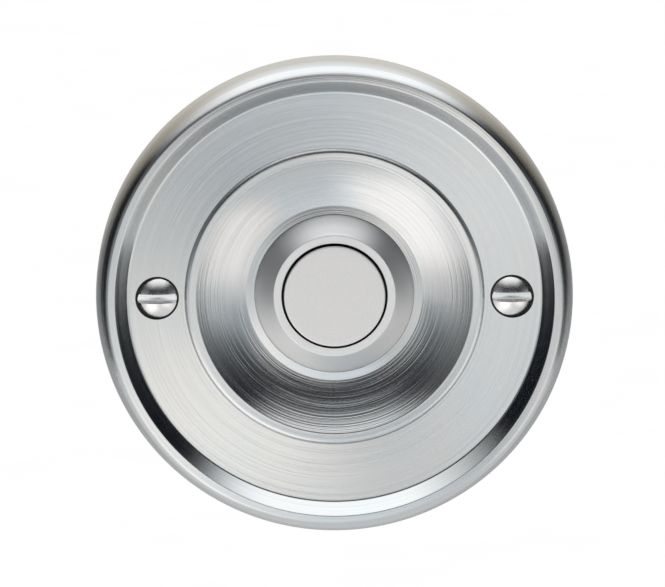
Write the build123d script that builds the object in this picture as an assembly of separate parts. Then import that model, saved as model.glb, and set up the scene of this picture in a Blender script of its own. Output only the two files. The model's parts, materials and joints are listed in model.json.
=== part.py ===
"""Round doorbell push: a turned wall plate with a dished centre and a sprung button in a screwed-in collar.

The pieces are modelled on a bench, in millimetres: the wall is the XY plane, +Y is up the wall and +Z comes
out of it. They are placed at the end so that the front faces -Y, +Z is up and the origin is at the middle of
the wall face.
"""

import os

from build123d import *

# Face plate, from the outside in
plate_radius = 38.0
side_height = 4.7
crest_height = 9.1
roll_width = 2.1
crest_width = 0.9
wall_run = 2.05
ring_depth = 2.0
ring_cove = 0.45
ring_width = 9.05
ring_fall = 1.1
step_height = 0.5
step_run = 0.95
land_width = 0.85
dish_sag = 0.47
trough_width = 1.35
seat_height = 2.5

# Back of the face plate
plate_thickness = 2.8
rim_wall = 3.4
hub_margin = 2.5

# Fixing screws
screw_inset = 4.7
screw_head_radius = 3.13
screw_head_gap = 0.32
screw_head_edge = 0.12
screw_dome = 1.2
screw_slot_width = 1.0
screw_slot_depth = 1.3
screw_shank_radius = 1.75
screw_thread_radius = 1.7
screw_length = 25.0
screw_point = 4.0
screw_point_radius = 0.15
screw_seat_clearance = 0.04
screw_hole_clearance = 0.2
screw_boss_wall = 2.8

# Button and its motion
travel = 1.5
button_radius = 8.1
button_gap = 0.35
button_proud = 0.6
button_edge = 0.25
flange_thickness = 1.2
running_clearance = 0.08
rest_gap = 0.05

# Push collar and what clamps it to the plate
collar_land = 1.25
collar_edge = 0.3
collar_height = 2.8
collar_overhang = 1.75
lip_overhang = 1.15
lip_thickness = 1.6
barrel_wall = 1.4
barrel_tail = 1.3
barrel_chamfer = 0.4
barrel_clearance = 0.15
seal_offset = 0.6
seal_width = 0.8
seal_depth = 0.75
seal_clearance = 0.05
nut_wall = 2.5
nut_thickness = 4.0
nut_chamfer = 0.8
thread_clearance = 0.05
nut_washer_overhang = 1.5
nut_washer_thickness = 0.8

# Return spring
spring_length = 4.6
spring_inset = 3.0
spring_wire = 0.6
spring_turns = 3.5

# Plunger and contact disc
plunger_radius = 2.2
spigot_radius = 1.5
spigot_length = 1.8
tail_radius = 1.1
tail_reach = 0.4
fit_clearance = 0.03
disc_margin = 1.5
disc_thickness = 0.4
disc_clearance = 0.3
clip_overhang = 0.9
clip_thickness = 0.3

# Guide cup and contact base
guide_thickness = 1.2
skirt_wall = 1.2
base_thickness = 3.5
relief_clearance = 0.5
barrier_thickness = 1.2
barrier_length = 9.0
barrier_height = 1.8
insert_clearance = 0.08

# Contact posts and terminals
post_inset = 1.8
post_radius = 1.3
post_head_overhang = 0.5
post_head_height = 0.7
tap_radius = 0.8
tap_depth = 2.8
terminal_washer_overhang = 0.5
terminal_washer_thickness = 0.6
terminal_head_radius = 2.1
terminal_head_height = 1.5
terminal_slot_width = 0.6
terminal_slot_depth = 0.8
terminal_thread_length = 2.6

# Retaining ring
retainer_thickness = 1.0
retainer_band = 1.65
retainer_groove_depth = 0.5
retainer_gap = 5.0
lug_radius = 1.2
lug_hole_radius = 0.45

# How far a cut runs past the face that it opens through
overcut = 1.0

# Radii worked out from the plate's edge inwards
crest_outer = plate_radius - roll_width
crest_inner = crest_outer - crest_width
ring_outer = crest_inner - wall_run
ring_inner = ring_outer - ring_width
land_outer = ring_inner - step_run
land_inner = land_outer - land_width
recess_outer = plate_radius - rim_wall
screw_circle = ring_outer - screw_inset

# Radii worked out from the button outwards
collar_bore = button_radius + button_gap
collar_land_outer = collar_bore + collar_land
barrel_bore = collar_bore + lip_overhang
barrel_radius = barrel_bore + barrel_wall
collar_radius = barrel_radius + collar_overhang
trough_outer = collar_radius + trough_width
plate_hole = barrel_radius + barrel_clearance
seal_inner = barrel_radius + seal_offset
seal_outer = seal_inner + seal_width
nut_inner = barrel_radius + thread_clearance
nut_half_flats = barrel_radius + nut_wall
nut_washer_radius = nut_half_flats + nut_washer_overhang
hub_radius = nut_washer_radius + hub_margin

# Radii inside the barrel
flange_radius = barrel_bore - running_clearance
spring_radius = flange_radius - spring_inset
insert_radius = barrel_bore - insert_clearance
skirt_inner = insert_radius - skirt_wall
guide_hole = plunger_radius + running_clearance
socket_radius = spigot_radius + fit_clearance
disc_radius = skirt_inner - disc_margin
disc_hole = tail_radius + fit_clearance
clip_radius = tail_radius + clip_overhang
relief_radius = clip_radius + relief_clearance
post_circle = disc_radius - post_inset
post_head_radius = post_radius + post_head_overhang
terminal_washer_radius = terminal_head_radius + terminal_washer_overhang
terminal_thread_radius = tap_radius - fit_clearance
retainer_groove = barrel_bore + retainer_groove_depth
retainer_outer = retainer_groove - fit_clearance
retainer_inner = retainer_outer - retainer_band

# Heights above the wall, from the front to the back
ring_height = crest_height - ring_depth
ring_low = ring_height - ring_fall
land_height = ring_low + step_height
recess_height = ring_low - plate_thickness
collar_top = seat_height + collar_height
shoulder = collar_top - lip_thickness
button_face = collar_top + button_proud
flange_top = shoulder - rest_gap
button_back = flange_top - flange_thickness
spigot_top = button_back + spigot_length
seal_floor = seat_height - seal_depth
nut_top = -nut_washer_thickness
nut_bottom = nut_top - nut_thickness
guide_top = button_back - spring_length
guide_bottom = guide_top - guide_thickness
disc_top = guide_bottom - disc_clearance
disc_bottom = disc_top - disc_thickness
clip_bottom = disc_bottom - clip_thickness
tail_end = clip_bottom - tail_reach
relief_floor = tail_end - travel - relief_clearance
post_top = disc_bottom - travel
base_top = post_top - post_head_height
base_bottom = base_top - base_thickness
terminal_seat = base_bottom - terminal_washer_thickness
terminal_end = terminal_seat - terminal_head_height
retainer_bottom = base_bottom - retainer_thickness
barrel_end = retainer_bottom - barrel_tail

# The ring falls towards the centre, so it is this high where the screws stand
ring_slope = ring_fall / ring_width
screw_ring_height = ring_height - ring_slope * screw_inset
countersink_radius = screw_head_radius + screw_head_gap
screw_head_base = screw_ring_height - screw_head_gap + screw_seat_clearance
screw_head_rim = screw_head_base + screw_head_edge
screw_top = screw_head_rim + screw_dome
screw_tip = screw_head_rim - screw_length
screw_hole_radius = screw_shank_radius + screw_hole_clearance
screw_boss_radius = screw_hole_radius + screw_boss_wall

# Where the two screws and the two contact posts stand
screw_places = [(-screw_circle, 0), (screw_circle, 0)]
post_places = [(-post_circle, 0), (post_circle, 0)]


def turned(*outline):
    """A solid of revolution about Z from edges in (radius, height)."""
    face = make_face(Curve() + list(outline))
    return revolve(Plane.XZ * face, Axis.Z)


def lathe(*points):
    """A solid of revolution about Z from the corners of its section, each (radius, height)."""
    return turned(Polyline(*points, close=True))


def tube(inner, outer, low, high):
    """A plain ring or sleeve between two heights."""
    return lathe((inner, low), (outer, low), (outer, high), (inner, high))


def rod(radius, low, high):
    """A plain round bar between two heights."""
    return lathe((0, low), (radius, low), (radius, high), (0, high))


def bar(length, width, low, high):
    """A block about the Z axis between two heights."""
    return Pos(0, 0, low) * extrude(Rectangle(length, width), high - low)


def at_places(places, shape):
    """Copies of one shape at several points of the plate."""
    return Part() + [Pos(x, y, 0) * shape for x, y in places]


def face_plate():
    """The turned plate: a rolled rim, a brushed ring, a step, a dish and a hub, hollowed at the back."""
    back = Polyline(
        (trough_outer, seat_height),
        (plate_hole, seat_height),
        (plate_hole, 0),
        (hub_radius, 0),
        (land_inner, recess_height),
        (recess_outer, recess_height),
        (recess_outer, 0),
        (plate_radius, 0),
        (plate_radius, side_height),
    )
    roll_rise = crest_height - side_height
    roll = EllipticalCenterArc((crest_outer, side_height), roll_width, roll_rise, arc_size=90)
    crest = Line((crest_outer, crest_height), (crest_inner, crest_height))
    wall_and_ring = FilletPolyline(
        (crest_inner, crest_height),
        (ring_outer, ring_height),
        (ring_inner, ring_low),
        radius=ring_cove,
    )
    step_radius = (step_run**2 + step_height**2) / (2 * step_height)
    step = RadiusArc((ring_inner, ring_low), (land_outer, land_height), -step_radius)
    land = Line((land_outer, land_height), (land_inner, land_height))
    dish = SagittaArc((land_inner, land_height), (trough_outer, seat_height), dish_sag)
    plate = turned(back, roll, crest, wall_and_ring, step, land, dish)
    plate += at_places(screw_places, rod(screw_boss_radius, 0, recess_height))
    plate -= at_places(screw_places, screw_hole())
    return plate - tube(seal_inner - seal_clearance, seal_outer + seal_clearance, seal_floor, seat_height)


def screw_hole():
    """The countersunk hole for one fixing screw, running past both faces of the plate."""
    cone_foot = screw_ring_height - (countersink_radius - screw_hole_radius)
    above = crest_height + overcut
    return lathe(
        (0, -overcut),
        (screw_hole_radius, -overcut),
        (screw_hole_radius, cone_foot),
        (countersink_radius, screw_ring_height),
        (countersink_radius, above),
        (0, above),
    )


def fixing_screw():
    """A slotted wood screw with a raised countersunk head. Its thread starts at the wall face."""
    outline = Polyline(
        (0, screw_top),
        (0, screw_tip),
        (screw_point_radius, screw_tip),
        (screw_thread_radius, screw_tip + screw_point),
        (screw_thread_radius, 0),
        (screw_shank_radius, 0),
        (screw_shank_radius, screw_head_base - (screw_head_radius - screw_shank_radius)),
        (screw_head_radius, screw_head_base),
        (screw_head_radius, screw_head_rim),
    )
    dome_radius = (screw_head_radius**2 + screw_dome**2) / (2 * screw_dome)
    dome = RadiusArc((screw_head_radius, screw_head_rim), (0, screw_top), -dome_radius)
    slot_length = 2 * (screw_head_radius + overcut)
    slot = bar(slot_length, screw_slot_width, screw_top - screw_slot_depth, screw_top + overcut)
    return turned(outline, dome) - slot


def push_collar():
    """The cone round the button and the barrel that passes through the plate, turned as one piece."""
    return lathe(
        (collar_bore, collar_top),
        (collar_bore, shoulder),
        (barrel_bore, shoulder),
        (barrel_bore, base_bottom),
        (retainer_groove, base_bottom),
        (retainer_groove, retainer_bottom),
        (barrel_bore, retainer_bottom),
        (barrel_bore, barrel_end),
        (barrel_radius - barrel_chamfer, barrel_end),
        (barrel_radius, barrel_end + barrel_chamfer),
        (barrel_radius, seat_height),
        (collar_radius, seat_height),
        (collar_radius, seat_height + collar_edge),
        (collar_land_outer, collar_top),
    )


def collar_nut():
    """A thin hexagon nut with its corners turned off."""
    corner = nut_half_flats * 2 / 3**0.5
    prism = Pos(0, 0, nut_bottom) * extrude(RegularPolygon(corner, 6), nut_thickness)
    crown = lathe(
        (nut_inner, nut_bottom),
        (corner - nut_chamfer, nut_bottom),
        (corner, nut_bottom + nut_chamfer / 2),
        (corner, nut_top - nut_chamfer / 2),
        (corner - nut_chamfer, nut_top),
        (nut_inner, nut_top),
    )
    return prism & crown


def push_button():
    """The turned button: a flat face, a flange that stops under the collar's lip, and a socket behind."""
    edge_start = (button_radius - button_edge, button_face)
    edge_end = (button_radius, button_face - button_edge)
    socket_top = spigot_top + fit_clearance
    outline = Polyline(
        edge_end,
        (button_radius, flange_top),
        (flange_radius, flange_top),
        (flange_radius, button_back),
        (socket_radius, button_back),
        (socket_radius, socket_top),
        (0, socket_top),
        (0, button_face),
        edge_start,
    )
    return turned(outline, RadiusArc(edge_start, edge_end, button_edge))


def return_spring():
    """A coil from the guide cup to the back of the button's flange."""
    rise = spring_length - spring_wire
    path = Helix(rise / spring_turns, rise, spring_radius, (0, 0, guide_top + spring_wire / 2))
    section = Plane(path @ 0, z_dir=path % 0) * Circle(spring_wire / 2)
    return sweep(section, path, is_frenet=True)


def plunger():
    """The insulating rod behind the button, with a spigot at the front and a tail for the contact disc."""
    return lathe(
        (0, spigot_top),
        (spigot_radius, spigot_top),
        (spigot_radius, button_back),
        (plunger_radius, button_back),
        (plunger_radius, disc_top),
        (tail_radius, disc_top),
        (tail_radius, tail_end),
        (0, tail_end),
    )


def guide_cup():
    """The cup that seats the spring, guides the plunger and closes the contact chamber."""
    return lathe(
        (guide_hole, guide_top),
        (insert_radius, guide_top),
        (insert_radius, base_top),
        (skirt_inner, base_top),
        (skirt_inner, guide_bottom),
        (guide_hole, guide_bottom),
    )


def contact_base():
    """The insulating disc that carries both posts, with a barrier between the terminals."""
    base = rod(insert_radius, base_bottom, base_top)
    base += bar(barrier_thickness, barrier_length, base_bottom - barrier_height, base_bottom)
    base -= rod(relief_radius, relief_floor, base_top)
    return base - at_places(post_places, rod(post_radius + fit_clearance, base_bottom, base_top))


def contact_post():
    """A headed post, tapped from behind for its terminal screw."""
    tap_end = base_bottom + tap_depth
    return lathe(
        (0, post_top),
        (post_head_radius, post_top),
        (post_head_radius, base_top),
        (post_radius, base_top),
        (post_radius, base_bottom),
        (tap_radius, base_bottom),
        (tap_radius, tap_end),
        (0, tap_end),
    )


def terminal_screw():
    """A slotted cheese-head screw that clamps a wire under its washer."""
    thread_end = base_bottom + terminal_thread_length
    screw = lathe(
        (0, terminal_end),
        (terminal_head_radius, terminal_end),
        (terminal_head_radius, terminal_seat),
        (terminal_thread_radius, terminal_seat),
        (terminal_thread_radius, thread_end),
        (0, thread_end),
    )
    slot_length = 2 * (terminal_head_radius + overcut)
    slot_floor = terminal_end + terminal_slot_depth
    return screw - bar(slot_length, terminal_slot_width, terminal_end - overcut, slot_floor)


def retaining_ring():
    """The spring ring behind the contact base, open at the bottom, with a lug at each end."""
    lug_circle = barrel_bore - fit_clearance - lug_radius
    lug_x = retainer_gap / 2 + lug_radius
    lug_y = -((lug_circle**2 - lug_x**2) ** 0.5)
    lug_places = [(-lug_x, lug_y), (lug_x, lug_y)]
    gap = bar(retainer_gap, 2 * retainer_outer, retainer_bottom, base_bottom)
    ring = tube(retainer_inner, retainer_outer, retainer_bottom, base_bottom)
    ring -= Pos(0, -retainer_outer, 0) * gap
    ring += at_places(lug_places, rod(lug_radius, retainer_bottom, base_bottom))
    return ring - at_places(lug_places, rod(lug_hole_radius, retainer_bottom, base_bottom))


terminal_washer = tube(tap_radius, terminal_washer_radius, terminal_seat, base_bottom)

pieces = {
    "face_plate": face_plate(),
    "fixing_screws": at_places(screw_places, fixing_screw()),
    "push_collar": push_collar(),
    "collar_seal": tube(seal_inner, seal_outer, seal_floor, seat_height),
    "nut_washer": tube(plate_hole, nut_washer_radius, nut_top, 0),
    "collar_nut": collar_nut(),
    "push_button": push_button(),
    "return_spring": return_spring(),
    "plunger": plunger(),
    "contact_disc": tube(disc_hole, disc_radius, disc_bottom, disc_top),
    "disc_clip": tube(disc_hole, clip_radius, clip_bottom, disc_bottom),
    "guide_cup": guide_cup(),
    "contact_base": contact_base(),
    "contact_post_left": at_places(post_places[:1], contact_post()),
    "contact_post_right": at_places(post_places[1:], contact_post()),
    "terminal_washers": at_places(post_places, terminal_washer),
    "terminal_screws": at_places(post_places, terminal_screw()),
    "retaining_ring": retaining_ring(),
}

os.makedirs("parts", exist_ok=True)
for name, piece in pieces.items():
    export_step(Plane.XZ.location * piece, f"parts/{name}.step")
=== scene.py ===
import json
import math

import bmesh
import bpy
from mathutils import Matrix, Vector


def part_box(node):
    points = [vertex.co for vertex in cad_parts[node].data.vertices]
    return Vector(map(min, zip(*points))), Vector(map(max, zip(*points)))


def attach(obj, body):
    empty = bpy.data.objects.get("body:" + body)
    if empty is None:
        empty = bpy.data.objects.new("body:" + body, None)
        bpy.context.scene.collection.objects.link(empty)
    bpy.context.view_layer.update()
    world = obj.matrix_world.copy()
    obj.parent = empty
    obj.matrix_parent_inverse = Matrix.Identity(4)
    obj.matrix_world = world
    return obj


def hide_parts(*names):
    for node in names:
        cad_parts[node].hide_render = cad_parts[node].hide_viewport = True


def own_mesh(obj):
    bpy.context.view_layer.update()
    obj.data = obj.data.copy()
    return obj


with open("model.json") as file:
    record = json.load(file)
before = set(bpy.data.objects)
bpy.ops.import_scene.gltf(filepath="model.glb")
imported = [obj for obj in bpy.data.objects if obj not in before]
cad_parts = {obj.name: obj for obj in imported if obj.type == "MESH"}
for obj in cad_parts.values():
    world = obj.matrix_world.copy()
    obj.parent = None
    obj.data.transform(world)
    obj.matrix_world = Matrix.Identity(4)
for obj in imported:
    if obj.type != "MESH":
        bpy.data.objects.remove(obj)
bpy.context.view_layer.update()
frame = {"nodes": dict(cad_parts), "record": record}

# A doorbell push: a turned steel plate with two fixing screws and a sprung button in a conical collar.
# Outlines are in millimetres, as (radius, height above the wall), and Blender is in metres.
MM = 0.001
TURN = 2 * math.pi
QUARTER = math.pi / 2


def reach(node):
    """A CAD node's reach in millimetres: out from the middle, and the heights of its front and back."""
    low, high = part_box(node)
    return high[0] / MM, -low[1] / MM, -high[1] / MM


# Sizes read from the frame
plate_radius, crest_height, _ = reach("face_plate")
collar_radius, collar_top, barrel_end = reach("push_collar")
flange_radius, button_face, button_back = reach("push_button")
screw_reach, screw_top, screw_tip = reach("fixing_screws")
spring_reach, spring_top, spring_bottom = reach("return_spring")
_, seat_height, seal_floor = reach("collar_seal")
retainer_outer, base_bottom, retainer_bottom = reach("retaining_ring")

# Face plate, front
side_height = 4.7
roll_width = 2.1
roll_tuck = 0.75
crest_width = 0.9
crest_fall = 0.09
wall_run = 2.05
ring_depth = 2.0
ring_cove = 0.25
ring_width = 9.05
ring_fall = 1.1
step_height = 0.5
step_run = 0.95
land_width = 0.85
dish_sag = 0.38
trough_width = 1.35
trough_rise = 0.24
trough_gap = 0.05
plate_edge = 0.12

# Face plate, back
plate_thickness = 2.8
rim_wall = 3.4
hub_radius = 17.5
plate_hole = 11.15
seal_groove_inner = 11.55
seal_groove_outer = 12.45

# Fixing screws and their holes. A head's dome is round up to about the nose's radius and a cone outside it
screw_head_radius = 3.13
screw_head_gap = 0.32
screw_head_edge = 0.12
screw_dome = 1.2
screw_dome_lift = 0.2
screw_nose = 3.4
screw_slot_width = 1.5
screw_slot_depth = 1.38
screw_slot_round = 0.4
screw_slot_tilt = 0.2
screw_slot_lip = 0.02
screw_shank_radius = 1.75
screw_thread_radius = 1.7
screw_root_radius = 1.15
screw_pitch = 1.6
screw_point = 4.0
screw_point_radius = 0.15
screw_hole_radius = 1.95
screw_hole_overcut = 1.0
screw_pocket = 0.7
screw_boss_radius = 4.75

# The screws' thread: the height where it starts, and its crest and flank as shares of the pitch
wood_thread_start = -0.2
wood_thread_crest = 0.06
wood_thread_flank = 0.2

# Push collar and button
collar_bore = 8.45
collar_land = 1.25
collar_edge = 0.3
collar_edge_round = 0.15
collar_land_round = 0.06
lip_thickness = 1.6
barrel_bore = 9.6
barrel_radius = 11.0
barrel_chamfer = 0.4
barrel_pitch = 1.0
barrel_thread_depth = 0.5
button_radius = 8.1
button_edge = 0.25
flange_thickness = 1.2
flange_round = 0.1
socket_radius = 1.53
socket_depth = 1.83

# Return spring
spring_wire = 0.6
spring_turns = 3.5

# Mesh: segments round an axis, steps on a curve, rows to one turn of a thread and cells across a panel
plate_segments = 384
push_segments = 256
hole_segments = 96
wire_segments = 16
roll_steps = 48
dish_steps = 24
step_steps = 12
edge_steps = 6
collar_edge_steps = 4
slot_steps = 12
dome_steps = 22
head_columns = 40
spring_rows = 96
wood_thread_rows = 20
barrel_thread_rows = 14
card_cells = 24

# Mesh: the longest straight run in a section, and how close two radii or points are to be the same
plate_run = 0.9
collar_run = 0.7
button_run = 0.8
same_radius = 0.001
same_point = 0.0005

# Brushing of the plate: lines to the millimetre, depths in millimetres, and how strongly the lines show
fine_lines = 6.5
fine_depth = 0.0065
coarse_lines = 3.8
coarse_depth = 0.011
pit_depth = 0.008
line_strength = 0.55
wall_softening = 0.44
dish_deepening = 0.45
wall_polish = 0.075
side_dullness = 0.17

# Dull and darkened places: how far they reach, and the dark tone painted on holes and gaps as shade, with
# grime in the screw holes
dull_side = 0.8
hole_edge = 0.02
hole_back = 1.0
shade_and_grime_tone = 0.03

# Noise: the range that tones and roughness follow, and the part of it that rises to a scratch
noise_low = 0.3
noise_high = 0.7
noise_roughness = 0.6
scratch_foot = 0.48
scratch_top = 0.68

# Studio: lengths in metres, light levels where 1 is white
floor_size = 6.0
floor_drop = 0.42
floor_glow = 0.35
dome_light = 0.8
lamp_distance = 0.45
flag_distance = 0.5
card_core = 0.45

# Heights and radii that follow
crest_outer = plate_radius - roll_width
crest_inner = crest_outer - crest_width
ring_outer = crest_inner - wall_run
ring_inner = ring_outer - ring_width
land_outer = ring_inner - step_run
land_inner = land_outer - land_width
trough_outer = collar_radius + trough_width
trough_inner = collar_radius + trough_gap
recess_outer = plate_radius - rim_wall
recess_cove = 3 * plate_edge
ring_height = crest_height - ring_depth
ring_low = ring_height - ring_fall
land_height = ring_low + step_height
recess_height = ring_low - plate_thickness
screw_x = screw_reach - screw_head_radius
screw_head_rim = screw_top - screw_dome
screw_head_base = screw_head_rim - screw_head_edge
screw_head_top = screw_top + screw_dome_lift
countersink_radius = screw_head_radius + screw_head_gap
shoulder = collar_top - lip_thickness
flange_top = button_back + flange_thickness
spring_length = spring_top - spring_bottom


# Shapes

def softened(corners, steps):
    """A closed section in which a corner that gives a third number is rounded over that distance."""
    points = []
    for index, corner in enumerate(corners):
        here = Vector(corner[:2])
        if len(corner) == 2:
            points.append(here)
            continue
        before = Vector(corners[index - 1][:2])
        after = Vector(corners[(index + 1) % len(corners)][:2])
        start = here + (before - here).normalized() * corner[2]
        end = here + (after - here).normalized() * corner[2]
        for step in range(steps + 1):
            share = step / steps
            points.append(start.lerp(here, share).lerp(here.lerp(end, share), share))
    return points


def divided(points, longest):
    """The same closed section with its long runs cut into even parts."""
    dense = []
    for here, after in zip(points, points[1:] + points[:1]):
        parts = max(1, math.ceil((after - here).length / longest))
        dense += [here.lerp(after, part / parts) for part in range(parts)]
    return dense


def quarter_ellipse(centre, across, up, steps):
    """Points from the outermost point of an ellipse to its top, without the two ends."""
    angles = [QUARTER * step / steps for step in range(1, steps)]
    return [(centre[0] + across * math.cos(a), centre[1] + up * math.sin(a)) for a in angles]


def rolled_arc(start, end, steps):
    """Points on an arc that climbs from start and comes in level at end, without the two ends."""
    run = start[0] - end[0]
    rise = end[1] - start[1]
    radius = (run**2 + rise**2) / (2 * rise)
    turns = [math.asin(run / radius) * (1 - step / steps) for step in range(1, steps)]
    return [(end[0] + radius * math.sin(t), end[1] - radius * (1 - math.cos(t))) for t in turns]


def hollow_arc(start, end, sag, steps):
    """Points on an arc that sinks below the chord from start to end, without the two ends."""
    chord = Vector(end) - Vector(start)
    middle = (Vector(start) + Vector(end)) / 2
    down = Vector((-chord.y, chord.x)).normalized()
    if down.y > 0:
        down = -down
    radius = (chord.length**2 / 4 + sag**2) / (2 * sag)
    centre = middle - down * (radius - sag)
    half = math.asin(chord.length / 2 / radius)
    along = chord.normalized()
    turns = [-half + 2 * half * step / steps for step in range(1, steps)]
    return [tuple(centre + radius * (down * math.cos(t) + along * math.sin(t))) for t in turns]


def turned_point(centre, radius, angle, height):
    """The point at that angle and distance round an axis through centre."""
    return centre[0] + radius * math.cos(angle), centre[1] + radius * math.sin(angle), height


def placed(name, data):
    """A new object in the scene, with a mesh or a camera in it."""
    made = bpy.data.objects.new(name, data)
    bpy.context.scene.collection.objects.link(made)
    return made


def new_object(name, points, faces):
    """A mesh object, facing outwards. Its points are in millimetres: right, up and above the wall."""
    mesh = bpy.data.meshes.new(name)
    mesh.from_pydata([(x * MM, -height * MM, z * MM) for x, z, height in points], [], faces)
    shape = bmesh.new()
    shape.from_mesh(mesh)
    bmesh.ops.remove_doubles(shape, verts=shape.verts, dist=same_point * MM)
    bmesh.ops.recalc_face_normals(shape, faces=shape.faces)
    shape.to_mesh(mesh)
    shape.free()
    return placed(name, mesh)


def strip(faces, row, after):
    """Joins two rings of point numbers with quads, or triangles where a ring is a single point."""
    for index in range(len(row)):
        turn = (index + 1) % len(row)
        corners = list(dict.fromkeys((row[index], row[turn], after[turn], after[index])))
        if len(corners) > 2:
            faces.append(corners)


def lathe(name, outline, segments, centre=(0, 0), thread=None):
    """A closed section turned about the Y axis, and cut as deep as thread says, if there is one."""
    points = []
    faces = []
    rings = []
    for radius, height in outline:
        if radius == 0:
            rings.append([len(points)] * segments)
            points.append((*centre, height))
            continue
        rings.append(range(len(points), len(points) + segments))
        for step in range(segments):
            angle = TURN * step / segments
            cut = thread(angle, radius, height) if thread else 0
            points.append(turned_point(centre, radius - cut, angle, height))
    for row, after in zip(rings, rings[1:] + rings[:1]):
        strip(faces, row, after)
    return new_object(name, points, faces)


def shade(piece, sharp_angle):
    """Smooth shading that stays flat on flat faces and breaks at edges over an angle in degrees."""
    piece.data.shade_smooth()
    piece.data.set_sharp_from_angle(angle=math.radians(sharp_angle))
    weighted = piece.modifiers.new("even shading", "WEIGHTED_NORMAL")
    weighted.keep_sharp = True
    weighted.weight = 90


def carve(piece, tool, operation):
    """Cuts a tool out of a piece, or joins it on, and deletes the tool."""
    change = piece.modifiers.new(operation, "BOOLEAN")
    change.operation = operation
    change.solver = "EXACT"
    change.object = tool
    settled = bpy.context.evaluated_depsgraph_get()
    mesh = bpy.data.meshes.new_from_object(piece.evaluated_get(settled))
    piece.modifiers.clear()
    piece.data = mesh
    bpy.data.objects.remove(tool)


# Face plate

def rim_roll():
    """The rolled edge of the rim, from its side up to the crest."""
    across = roll_width + roll_tuck
    rise = (crest_height - crest_fall - side_height) / math.sqrt(1 - (roll_tuck / across) ** 2)
    roll = quarter_ellipse((crest_outer - roll_tuck, side_height), across, rise, roll_steps)
    return [point for point in roll if point[0] > crest_outer]


def plate_front():
    """From the wall up the side and over the rim, ring, step and dish to the hole in the middle."""
    return [
        (plate_radius, 0, plate_edge),
        (plate_radius, side_height),
        *rim_roll(),
        (crest_inner, crest_height, plate_edge),
        (ring_outer, ring_height, ring_cove),
        (ring_inner, ring_low),
        *rolled_arc((ring_inner, ring_low), (land_outer, land_height), step_steps),
        (land_outer, land_height),
        (land_inner, land_height, plate_edge),
        *hollow_arc((land_inner, land_height), (trough_outer, seat_height), dish_sag, dish_steps),
        (trough_outer, seat_height),
        (trough_inner, seat_height + trough_rise),
        (trough_inner, seat_height),
        (seal_groove_outer, seat_height),
        (seal_groove_outer, seal_floor),
        (seal_groove_inner, seal_floor),
        (seal_groove_inner, seat_height),
        (plate_hole, seat_height),
    ]


def plate_back():
    """From the hole in the middle over the hub and through the hollow back to the rim."""
    return [
        (plate_hole, 0, plate_edge),
        (hub_radius, 0, plate_edge),
        (land_inner, recess_height, recess_cove),
        (recess_outer, recess_height, recess_cove),
        (recess_outer, 0, plate_edge),
    ]


def drill_screw_hole(plate, side):
    """A boss behind the ring at one side, and the screw's hole with a pocket under the head."""
    centre = (side * screw_x, 0)
    boss_top = recess_height + plate_edge
    boss = [(0, 0), (screw_boss_radius, 0), (screw_boss_radius, boss_top), (0, boss_top)]
    carve(plate, lathe("boss", boss, hole_segments, centre), "UNION")
    ring_here = ring_height - ring_fall / ring_width * (ring_outer - screw_x)
    cone_foot = ring_here - (countersink_radius - screw_hole_radius)
    pocket = ring_here - screw_pocket
    hole = [
        (0, -screw_hole_overcut),
        (screw_hole_radius, -screw_hole_overcut),
        (screw_hole_radius, cone_foot),
        (countersink_radius - screw_pocket, pocket),
        (countersink_radius, pocket),
        (countersink_radius, crest_height),
        (0, crest_height),
    ]
    carve(plate, lathe("hole", hole, hole_segments, centre), "DIFFERENCE")


def turned_plate():
    """The wall plate: rolled rim, ring, step and dish at the front, hub and screw bosses behind."""
    section = softened(plate_front() + plate_back(), edge_steps)
    plate = lathe("plate_turned", divided(section, plate_run), plate_segments)
    for side in (-1, 1):
        drill_screw_hole(plate, side)
    shade(plate, sharp_angle=20)
    return plate


# Fixing screws

def head_rows():
    """Where rows cross a screw head, from its bottom to its top: close together in the slot's corners."""
    half = screw_slot_width / 2
    rows = [0]
    for step in range(slot_steps + 1):
        rows.append(half - screw_slot_round * (1 - math.sin(QUARTER * step / slot_steps)))
    start = math.asin((half + screw_slot_lip) / screw_head_radius)
    for step in range(dome_steps + 1):
        angle = start + (QUARTER - start) * step / dome_steps
        rows.append(screw_head_radius * math.sin(angle))
    return [-z for z in rows[:0:-1]] + rows


def head_height(across, up):
    """The height of a screw head's face: a blunt dome, sawn through by a slot with round corners."""
    fall = math.hypot(1, math.hypot(across, up) / screw_nose) - 1
    whole_fall = math.hypot(1, screw_head_radius / screw_nose) - 1
    dome = screw_head_top - (screw_head_top - screw_head_rim) * fall / whole_fall
    flat = screw_slot_width / 2 - screw_slot_round
    corner = max(abs(up) - flat, 0)
    if corner > screw_slot_round + screw_slot_lip / 2:
        return dome
    floor = screw_head_top - screw_slot_depth + screw_slot_tilt * min(max(up, -flat), flat)
    return min(dome, floor + screw_slot_round - math.sqrt(max(screw_slot_round**2 - corner**2, 0)))


def screw_head(centre):
    """A slotted head as a grid along the slot: points, faces and the point numbers of its edge."""
    points = []
    grid = []
    for z in head_rows():
        half = math.sqrt(max(screw_head_radius**2 - z**2, 0))
        row = []
        for step in range(head_columns + 1):
            x = -half * math.cos(math.pi * step / head_columns)
            row.append(len(points))
            points.append((centre[0] + x, centre[1] + z, head_height(x, z)))
        grid.append(row)
    faces = []
    for row, after in zip(grid, grid[1:]):
        faces += zip(row, row[1:], after[1:], after)
    edge = [row[-1] for row in grid] + [row[0] for row in reversed(grid)]
    return points, faces, edge


def screw_outline():
    """A screw's outline from under its head down to its point, with close rows for the thread."""
    neck = screw_head_base - (screw_head_radius - screw_shank_radius)
    outline = [
        (screw_head_radius, screw_head_base),
        (screw_shank_radius, neck),
        (screw_shank_radius, 0),
    ]
    rows = wood_thread_rows * math.ceil(-screw_tip / screw_pitch)
    for row in range(1, rows + 1):
        height = screw_tip * row / rows
        taper = min((height - screw_tip) / screw_point, 1)
        radius = screw_point_radius + (screw_thread_radius - screw_point_radius) * taper
        outline.append((radius, height))
    return outline


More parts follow.
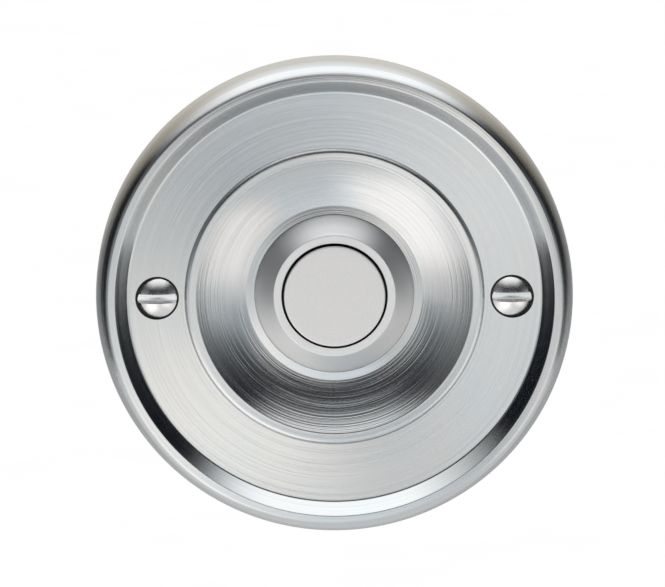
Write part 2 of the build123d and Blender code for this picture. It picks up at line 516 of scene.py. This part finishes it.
def wood_thread(angle, radius, height):
    """How deep a wood screw's thread is cut: narrow crest, wide root, fading in below the shank."""
    if height > wood_thread_start:
        return 0
    phase = (height / screw_pitch - angle / TURN) % 1
    from_crest = abs(phase - 0.5)
    flank = min(max((from_crest - wood_thread_crest) / wood_thread_flank, 0), 1)
    fade = min((wood_thread_start - height) / screw_pitch, 1)
    return (radius - radius * screw_root_radius / screw_thread_radius) * flank * fade


def turned_screw(name, centre):
    """A slotted wood screw: its shank and thread hang from the head's edge."""
    points, faces, edge = screw_head(centre)
    angles = [math.atan2(points[i][1] - centre[1], points[i][0] - centre[0]) for i in edge]
    ring = edge
    for radius, height in screw_outline():
        after = range(len(points), len(points) + len(edge))
        for angle in angles:
            cut = wood_thread(angle, radius, height)
            points.append(turned_point(centre, radius - cut, angle, height))
        strip(faces, ring, after)
        ring = after
    tip = [len(points)] * len(edge)
    points.append((*centre, screw_tip))
    strip(faces, ring, tip)
    return new_object(name, points, faces)


def turned_screws():
    """Both fixing screws as one piece."""
    left = turned_screw("screws_turned", (-screw_x, 0))
    right = turned_screw("right_screw", (screw_x, 0))
    both = bmesh.new()
    both.from_mesh(left.data)
    both.from_mesh(right.data)
    both.to_mesh(left.data)
    both.free()
    bpy.data.objects.remove(right)
    shade(left, sharp_angle=40)
    return left


# Collar, button and spring

def barrel_thread(angle, radius, height):
    """How deep the barrel's fine thread is cut behind the plate."""
    if abs(radius - barrel_radius) > same_radius or height > 0:
        return 0
    phase = (height / barrel_pitch - angle / TURN) % 1
    fade = min(-height / barrel_pitch, 1)
    return barrel_thread_depth * fade * (0.5 - 0.5 * math.cos(TURN * phase))


def turned_collar():
    """The cone round the button, with its threaded barrel."""
    thread_end = barrel_end + barrel_chamfer
    rows = barrel_thread_rows * math.ceil(-thread_end / barrel_pitch)
    barrel = [(barrel_radius, thread_end - thread_end * row / rows) for row in range(rows + 1)]
    cone = [
        (barrel_radius, seat_height),
        (collar_radius, seat_height),
        (collar_radius, seat_height + collar_edge, collar_edge_round),
        (collar_bore + collar_land, collar_top, collar_land_round),
        (collar_bore, collar_top, collar_land_round),
        (collar_bore, shoulder),
        (barrel_bore, shoulder),
        (barrel_bore, base_bottom),
        (retainer_outer, base_bottom),
        (retainer_outer, retainer_bottom),
        (barrel_bore, retainer_bottom),
        (barrel_bore, barrel_end),
        (barrel_radius - barrel_chamfer, barrel_end),
    ]
    section = divided(softened(barrel + cone, collar_edge_steps), collar_run)
    collar = lathe("collar_turned", section, push_segments, thread=barrel_thread)
    shade(collar, sharp_angle=32)
    return collar


def turned_button():
    """The flat button with its flange and the socket for the plunger."""
    outline = [
        (0, button_face),
        (button_radius, button_face, button_edge),
        (button_radius, flange_top),
        (flange_radius, flange_top, flange_round),
        (flange_radius, button_back, flange_round),
        (socket_radius, button_back),
        (socket_radius, button_back + socket_depth),
        (0, button_back + socket_depth),
    ]
    button = lathe("button_turned", divided(softened(outline, edge_steps), button_run), push_segments)
    shade(button, sharp_angle=32)
    return button


def coiled_spring():
    """The return spring as a closed tube along a helix."""
    rows = math.ceil(spring_turns * spring_rows)
    wire = spring_wire / 2
    mean = spring_reach - wire
    rise = spring_length - spring_wire
    points = []
    faces = []
    ring = None
    for row in range(rows + 1):
        angle = TURN * spring_turns * row / rows
        height = spring_bottom + wire + rise * row / rows
        after = range(len(points), len(points) + wire_segments)
        for side in range(wire_segments):
            turn = TURN * side / wire_segments
            radius = mean + wire * math.cos(turn)
            points.append(turned_point((0, 0), radius, angle, height + wire * math.sin(turn)))
        if ring:
            strip(faces, ring, after)
        else:
            faces.append(list(after))
        ring = after
    faces.append(list(ring))
    spring = new_object("spring_coiled", points, faces)
    shade(spring, sharp_angle=40)
    return spring


# Shader nodes

def add(tree, kind, inputs=None, **settings):
    """A node with its settings and inputs. An input is a plain value or another node's output."""
    made = tree.nodes.new(kind)
    for key, value in settings.items():
        setattr(made, key, value)
    for key, value in (inputs or {}).items():
        if isinstance(value, bpy.types.NodeSocket):
            tree.links.new(value, made.inputs[key])
        else:
            made.inputs[key].default_value = value
    return made


def figure(tree, operation, *values):
    """The result of a sum or comparison."""
    return add(tree, "ShaderNodeMath", dict(enumerate(values)), operation=operation).outputs[0]


def mixed(tree, share, low, high, blend="MIX"):
    """A colour that goes from low to high with share, or that blends the two in another way."""
    inputs = {0: share, 6: low, 7: high}
    return add(tree, "ShaderNodeMix", inputs, data_type="RGBA", blend_type=blend).outputs[2]


def spread(tree, noise, low, high):
    """A number that runs from low to high over the range of the noise."""
    inputs = {0: noise, 1: noise_low, 2: noise_high, 3: low, 4: high}
    return add(tree, "ShaderNodeMapRange", inputs).outputs[0]


def tone(tree, noise, low, high):
    """A colour that runs from low to high over the range of the noise."""
    return mixed(tree, spread(tree, noise, 0, 1), low, high)


def place(tree):
    """The X, Y and Z of a point on the piece, in metres."""
    point = add(tree, "ShaderNodeTexCoord").outputs["Object"]
    return add(tree, "ShaderNodeSeparateXYZ", {0: point}).outputs


def flattened(tree, x, z):
    """The vector to a point across the wall, whatever its height."""
    return add(tree, "ShaderNodeCombineXYZ", {0: x, 2: z}).outputs[0]


def length(tree, vector):
    """How long a vector is."""
    return add(tree, "ShaderNodeVectorMath", {0: vector}, operation="LENGTH").outputs["Value"]


def lathe_marks(tree, per_mm, arcs, detail):
    """Noise drawn out round the Y axis, as a tool or brush leaves it on turned metal."""
    x, y, z = place(tree)
    flat = flattened(tree, x, z)
    way = add(tree, "ShaderNodeVectorMath", {0: flat}, operation="NORMALIZE").outputs[0]
    round_way = add(tree, "ShaderNodeVectorMath", {0: way, 3: arcs}, operation="SCALE").outputs[0]
    lines = per_mm / MM
    out = figure(tree, "MULTIPLY", length(tree, flat), lines)
    out_way = add(tree, "ShaderNodeCombineXYZ", {1: out}).outputs[0]
    where = add(tree, "ShaderNodeVectorMath", {0: round_way, 1: out_way}, operation="ADD").outputs[0]
    depth = figure(tree, "MULTIPLY", y, lines)
    noise = {"Vector": where, "W": depth, "Scale": 1, "Detail": detail, "Roughness": noise_roughness}
    return add(tree, "ShaderNodeTexNoise", noise, noise_dimensions="4D").outputs["Fac"]


def scratches(tree, per_mm, arcs):
    """Thin ridges drawn out round the Y axis, with level metal between them."""
    marks = lathe_marks(tree, per_mm, arcs, detail=1)
    return add(tree, "ShaderNodeMapRange", {0: marks, 1: scratch_foot, 2: scratch_top}).outputs[0]


def grain(tree, per_mm, detail):
    """Even noise, with so many grains to the millimetre."""
    point = add(tree, "ShaderNodeTexCoord").outputs["Object"]
    noise = {"Vector": point, "Scale": per_mm / MM, "Detail": detail, "Roughness": noise_roughness}
    return add(tree, "ShaderNodeTexNoise", noise).outputs["Fac"]


def bumped(tree, height, depth_mm, strength=1.0, under=None):
    """A normal from a height map of that depth, laid over another normal if there is one."""
    inputs = {"Height": height, "Distance": depth_mm * MM, "Strength": strength}
    if under is not None:
        inputs["Normal"] = under
    return add(tree, "ShaderNodeBump", inputs).outputs["Normal"]


def inside_hole(tree, offset, radius):
    """1 on the front walls of round holes so far left and right of the middle, and 0 elsewhere."""
    x, y, z = place(tree)
    side = figure(tree, "SUBTRACT", figure(tree, "ABSOLUTE", x), offset * MM)
    away = length(tree, flattened(tree, side, z))
    near = figure(tree, "LESS_THAN", away, (radius + hole_edge) * MM)
    front = figure(tree, "LESS_THAN", y, -hole_back * MM)
    return figure(tree, "MULTIPLY", near, front)


def outside(tree, radius):
    """1 further than a radius from the push's axis, and 0 nearer to it."""
    x, _, z = place(tree)
    return figure(tree, "GREATER_THAN", length(tree, flattened(tree, x, z)), radius * MM)


def band(tree, inner, outer):
    """1 between two radii about the push's axis, and 0 elsewhere."""
    return figure(tree, "SUBTRACT", outside(tree, inner), outside(tree, outer))


def changed(tree, value, share, by):
    """A value that rises by so much, or falls if that is below zero, where share is 1."""
    return figure(tree, "MULTIPLY_ADD", share, by, value)


def darkened_by_shade_and_grime(tree, share, colour):
    """The colour, or a dark tone where share is 1: painted shade in holes and gaps, with grime in the
    screw holes.
    """
    return mixed(tree, share, colour, grey(shade_and_grime_tone))


# Materials

def new_material(name):
    """An empty node material and its shader."""
    material = bpy.data.materials.new(name)
    material.use_nodes = True
    tree = material.node_tree
    return material, tree, tree.nodes["Principled BSDF"]


def grey(level, warmth=0.0):
    """A nearly neutral colour."""
    return (level * (1 + warmth), level, level * (1 - warmth), 1)


def steel(level, chill):
    """Steel with a faint cyan cast: chill takes red away and adds half as much blue."""
    return (level * (1 - chill), level, level * (1 + chill / 2), 1)


def coat(tree, shader, colour, roughness, normal, metallic=1):
    """Gives a shader its colour, roughness and relief. It is metal unless the call says otherwise."""
    tree.links.new(colour, shader.inputs["Base Color"])
    tree.links.new(roughness, shader.inputs["Roughness"])
    tree.links.new(normal, shader.inputs["Normal"])
    shader.inputs["Metallic"].default_value = metallic


def brushed_colour(tree):
    """The plate's colour: a drifting tone under worn lines, and painted shade with grime inside the screw
    holes.
    """
    cast = grain(tree, per_mm=0.08, detail=2)
    drift = tone(tree, cast, steel(0.52, chill=0.05), steel(0.52, chill=0.015))
    lines = lathe_marks(tree, per_mm=4.0, arcs=0.5, detail=2)
    worn = tone(tree, lines, grey(0.95), grey(1.0))
    brushed = mixed(tree, 1.0, drift, worn, blend="MULTIPLY")
    # Painted shade, with some grime: the walls of the screw holes are darkened to the dark tone.
    return darkened_by_shade_and_grime(tree, inside_hole(tree, screw_x, countersink_radius), brushed)


def satin_steel():
    """Steel brushed round the plate: strong lines in the dish, a burnished rim wall and a dull side."""
    material, tree, shader = new_material("satin_steel")
    fine = scratches(tree, fine_lines, arcs=0.8)
    coarse = scratches(tree, coarse_lines, arcs=0.35)
    wall = band(tree, ring_outer, crest_inner)
    dish = band(tree, trough_outer, land_inner)
    side = outside(tree, plate_radius - dull_side)
    roughness = changed(tree, spread(tree, fine, 0.19, 0.25), wall, -wall_polish)
    roughness = changed(tree, roughness, side, side_dullness)
    strength = changed(tree, line_strength, wall, -wall_softening)
    strength = changed(tree, strength, dish, dish_deepening)
    normal = bumped(tree, coarse, coarse_depth, strength)
    normal = bumped(tree, fine, fine_depth, strength, under=normal)
    normal = bumped(tree, grain(tree, per_mm=4, detail=2), pit_depth, side, under=normal)
    coat(tree, shader, brushed_colour(tree), roughness, normal)
    tangent = add(tree, "ShaderNodeTangent", direction_type="RADIAL", axis="Y")
    tree.links.new(tangent.outputs[0], shader.inputs["Tangent"])
    shader.inputs["Anisotropic"].default_value = 0.75
    shader.inputs["Anisotropic Rotation"].default_value = 0.25
    return material


def smooth_steel():
    """The collar's finely turned steel, more even than the plate, with painted shade darkening the
    button's hole.
    """
    material, tree, shader = new_material("smooth_steel")
    spots = grain(tree, per_mm=9, detail=2)
    colour = tone(tree, spots, steel(0.58, chill=0.015), steel(0.65, chill=0.015))
    # Painted shade: the bore's walls round the button are darkened to the dark tone.
    colour = darkened_by_shade_and_grime(tree, inside_hole(tree, 0, collar_bore), colour)
    roughness = spread(tree, lathe_marks(tree, per_mm=7.0, arcs=1.5, detail=2), 0.36, 0.42)
    coat(tree, shader, colour, roughness, bumped(tree, spots, depth_mm=0.003))
    return material


def blasted_steel():
    """The button's bead-blasted steel, with painted shade darkening its side in the gap round it in the
    collar.
    """
    material, tree, shader = new_material("blasted_steel")
    spots = grain(tree, per_mm=7, detail=3)
    colour = tone(tree, spots, grey(0.58), grey(0.67))
    # Painted shade: the button's side, in the gap within the collar, is darkened to the dark tone.
    colour = darkened_by_shade_and_grime(tree, outside(tree, button_radius - hole_edge), colour)
    roughness = spread(tree, spots, 0.42, 0.5)
    coat(tree, shader, colour, roughness, bumped(tree, spots, depth_mm=0.006))
    return material


def nut_brass():
    """Nickel-plated brass, turned about the push's own axis."""
    material, tree, shader = new_material("nut_brass")
    marks = lathe_marks(tree, per_mm=4, arcs=1.5, detail=2)
    colour = tone(tree, marks, grey(0.56, warmth=0.04), grey(0.66, warmth=0.04))
    roughness = spread(tree, marks, 0.22, 0.34)
    coat(tree, shader, colour, roughness, bumped(tree, marks, depth_mm=0.003))
    return material


def grained_metal(name, low, high, roughness, per_mm, depth_mm):
    """Metal with an even grain: plated, drawn, rolled or turned small."""
    material, tree, shader = new_material(name)
    spots = grain(tree, per_mm, detail=3)
    colour = tone(tree, spots, low, high)
    coat(tree, shader, colour, spread(tree, spots, *roughness), bumped(tree, spots, depth_mm))
    return material


def moulded(name, low, high, roughness, per_mm, depth_mm):
    """Plastic or rubber with a fine moulded grain and a drift of tone that is eight times as broad."""
    material, tree, shader = new_material(name)
    pits = grain(tree, per_mm, detail=2)
    colour = tone(tree, grain(tree, per_mm / 8, detail=2), low, high)
    relief = bumped(tree, pits, depth_mm)
    coat(tree, shader, colour, spread(tree, pits, *roughness), relief, metallic=0)
    return material


# Two tones, two levels of roughness, grains to the millimetre and their depth in millimetres
grained_metals = {
    "screw_steel": (grey(0.58), grey(0.66), (0.22, 0.3), 8, 0.004),
    "plated_steel": (grey(0.52, 0.01), grey(0.6, 0.02), (0.28, 0.4), 2, 0.002),
    "spring_steel": (grey(0.3), grey(0.42), (0.3, 0.42), 5, 0.002),
    "contact_bronze": ((0.62, 0.36, 0.2, 1), (0.72, 0.46, 0.27, 1), (0.28, 0.4), 3, 0.002),
    "terminal_brass": ((0.62, 0.45, 0.19, 1), (0.74, 0.56, 0.26, 1), (0.24, 0.36), 3, 0.002),
}
mouldings = {
    "seal_rubber": (grey(0.018), grey(0.03), (0.6, 0.75), 6, 0.004),
    "plunger_acetal": ((0.72, 0.69, 0.6, 1), (0.8, 0.78, 0.7, 1), (0.35, 0.45), 6, 0.002),
    "guide_nylon": ((0.66, 0.63, 0.55, 1), (0.75, 0.73, 0.66, 1), (0.4, 0.52), 5, 0.003),
    "base_phenolic": ((0.026, 0.022, 0.02, 1), (0.045, 0.04, 0.036, 1), (0.32, 0.46), 5, 0.003),
}

materials = {
    "satin_steel": satin_steel(),
    "smooth_steel": smooth_steel(),
    "blasted_steel": blasted_steel(),
    "nut_brass": nut_brass(),
}
for slot, settings in grained_metals.items():
    materials[slot] = grained_metal(slot, *settings)
for slot, settings in mouldings.items():
    materials[slot] = moulded(slot, *settings)


# Dressing the frame

slots = {part["node"]: part["material_slot"] for part in frame["record"]["subparts"]}


def dress(piece, node, body):
    """A piece that stands for a CAD node, with that node's finish."""
    piece.data.materials.clear()
    piece.data.materials.append(materials[slots[node]])
    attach(piece, body)
    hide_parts(node)


dress(turned_plate(), "face_plate", "plate")
dress(turned_screws(), "fixing_screws", "plate")
dress(turned_collar(), "push_collar", "plate")
dress(turned_button(), "push_button", "button")
spring = coiled_spring()
dress(spring, "return_spring", "plate")
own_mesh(spring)

for node, slot in slots.items():
    for material_slot in frame["nodes"][node].material_slots:
        material_slot.material = materials[slot]


# Studio

def seen_or_mirrored(tree):
    """1 for rays from the camera, from a mirror or through glass, and 0 for the rest."""
    path = add(tree, "ShaderNodeLightPath").outputs
    seen = figure(tree, "MAXIMUM", path["Is Camera Ray"], path["Is Glossy Ray"])
    return figure(tree, "MAXIMUM", seen, path["Is Transmission Ray"])


def studio_world():
    """An even dome of light, white where it is seen directly or mirrored."""
    world = bpy.data.worlds.new("studio")
    bpy.context.scene.world = world
    world.use_nodes = True
    tree = world.node_tree
    level = add(tree, "ShaderNodeMapRange", {0: seen_or_mirrored(tree), 3: dome_light, 4: 1.0})
    background = tree.nodes["Background"]
    background.inputs["Color"].default_value = (1, 1, 1, 1)
    tree.links.new(level.outputs[0], background.inputs["Strength"])


def floor_white():
    """White that glows where it is seen, so that the floor is white and still shaded by the push."""
    material, tree, shader = new_material("floor_white")
    colour = tone(tree, grain(tree, per_mm=0.02, detail=2), grey(0.8), grey(0.82))
    tree.links.new(colour, shader.inputs["Base Color"])
    shader.inputs["Roughness"].default_value = 0.9
    shader.inputs["Specular IOR Level"].default_value = 0
    shader.inputs["Emission Color"].default_value = (1, 1, 1, 1)
    glow = figure(tree, "MULTIPLY", seen_or_mirrored(tree), floor_glow)
    tree.links.new(glow, shader.inputs["Emission Strength"])
    return material


def studio_floor():
    """A plain floor well below the push."""
    mesh = bpy.data.meshes.new("floor")
    signs = ((-1, -1), (1, -1), (1, 1), (-1, 1))
    corners = [(x * floor_size, y * floor_size, -floor_drop) for x, y in signs]
    mesh.from_pydata(corners, [], [(0, 1, 2, 3)])
    mesh.materials.append(floor_white())
    floor = placed("floor", mesh)


def direction(azimuth, elevation):
    """The way from the push to a place round it, where azimuth 0 is the front. Both are in radians."""
    level = math.cos(elevation)
    return Vector((math.sin(azimuth) * level, -math.cos(azimuth) * level, math.sin(elevation)))


def eased(value, start, end):
    """0 before start, 1 after end and a smooth rise between them. The two may be in falling order."""
    share = min(max((value - start) / (end - start), 0), 1)
    return share * share * (3 - 2 * share)


def card_mesh(name, azimuth, elevation, width, height, distance):
    """A panel bent round the push, with an attribute for how much it covers: less towards its edges."""
    lift = Matrix.Rotation(math.radians(-elevation), 3, "X")
    turn = Matrix.Rotation(math.radians(azimuth), 3, "Z") @ lift
    points = []
    cover = []
    for row in range(card_cells + 1):
        for column in range(card_cells + 1):
            across = 2 * column / card_cells - 1
            up = 2 * row / card_cells - 1
            way = direction(math.radians(across * width / 2), math.radians(up * height / 2))
            points.append(turn @ way * distance)
            cover.append(eased(abs(across), 1, card_core) * eased(abs(up), 1, card_core))
    faces = []
    for row in range(card_cells):
        for column in range(card_cells):
            corner = row * (card_cells + 1) + column
            faces.append((corner, corner + 1, corner + card_cells + 2, corner + card_cells + 1))
    mesh = bpy.data.meshes.new(name)
    mesh.from_pydata(points, [], faces)
    mesh.attributes.new("cover", "FLOAT", "POINT").data.foreach_set("value", cover)
    return mesh


def card_light(name, strength, colour):
    """Light of one level, clear where the panel covers nothing."""
    material, tree, _ = new_material(name)
    light = add(tree, "ShaderNodeEmission", {"Color": (*colour, 1), "Strength": strength})
    clear = add(tree, "ShaderNodeBsdfTransparent")
    share = add(tree, "ShaderNodeAttribute", attribute_name="cover").outputs["Fac"]
    both = add(tree, "ShaderNodeMixShader", {0: share, 1: clear.outputs[0], 2: light.outputs[0]})
    tree.links.new(both.outputs[0], tree.nodes["Material Output"].inputs["Surface"])
    return material


def card(name, azimuth, elevation, width, height, strength, colour=(1, 1, 1)):
    """A soft panel that only reflections show. Place and size are in degrees as seen from the push."""
    distance = lamp_distance if strength > 1 else flag_distance
    mesh = card_mesh(name, azimuth, elevation, width, height, distance)
    mesh.materials.append(card_light(name, strength, colour))
    panel = placed(name, mesh)
    panel.visible_camera = False
    panel.visible_diffuse = False
    panel.visible_shadow = False


def photo_camera():
    """A long lens a little above the push's axis, as the photo was taken. Lengths are in metres."""
    distance = 1.2
    azimuth = math.radians(-0.5)
    elevation = math.radians(9.2)
    roll = math.radians(-0.25)
    frame_width = 0.1064
    aim_right = -0.00028
    aim_up = -0.00045
    camera = placed("camera", bpy.data.cameras.new("camera"))
    back = direction(azimuth, elevation)
    turn = (-back).to_track_quat("-Z", "Y").to_matrix()
    aim = turn @ Vector((aim_right, aim_up, 0))
    roll_turn = Matrix.Rotation(roll, 3, "Z")
    camera.matrix_world = Matrix.Translation(aim + back * distance) @ (turn @ roll_turn).to_4x4()
    camera.data.sensor_width = 36
    camera.data.lens = camera.data.sensor_width * distance / frame_width
    camera.data.clip_start = 0.05
    camera.data.clip_end = 50
    bpy.context.scene.camera = camera


# Panels round the push: name, azimuth, elevation, width, height, strength and colour
cards = [
    ("softbox_top", 0, 94, 94, 92, 1.92),
    ("lamp_left", -37, -42, 54, 62, 1.95, (1, 0.95, 0.92)),
    ("lamp_right", 46, -30, 44, 44, 1.65, (1, 0.94, 0.9)),
    ("lamp_front", 9, 1, 24, 26, 1.8, (1, 0.955, 0.9)),
    ("lamp_side", -12, -9, 24, 32, 1.3),
    ("lamp_low", -4, -34, 44, 24, 1.45, (0.95, 1, 1.03)),
    ("shade_front", 7, -20, 22, 20, 0.62, (0.92, 1, 1.05)),
    ("shade_low", 14, -62, 54, 36, 1.0, (0.92, 1, 1.04)),
    ("shade_left", -37, 3, 26, 26, 0.35, (0.85, 1, 1.05)),
    ("shade_right", 36, 3, 26, 26, 0.5, (0.85, 1, 1.05)),
    ("flag_front", 4, 33, 170, 50, 0.015, (0.3, 0.5, 1)),
    ("flag_left", -98, 10, 94, 80, 0.01, (0.3, 0.5, 1)),
    ("flag_right", 99, 19, 90, 84, 0.01, (0.3, 0.5, 1)),
    ("flag_low_left", -92, -12, 40, 34, 0.06),
    ("flag_low_right", 92, -12, 40, 34, 0.1),
    ("flag_back", 180, -34, 170, 62, 0.5),
    ("shade_side", 135, 25, 60, 70, 0.5, (0.92, 0.96, 1.04)),
    ("wall_back", 180, 42, 150, 76, 0.86, (1, 0.88, 0.68)),
]

studio_world()
studio_floor()
for settings in cards:
    card(*settings)
photo_camera()
bpy.context.scene.view_settings.view_transform = "Standard"
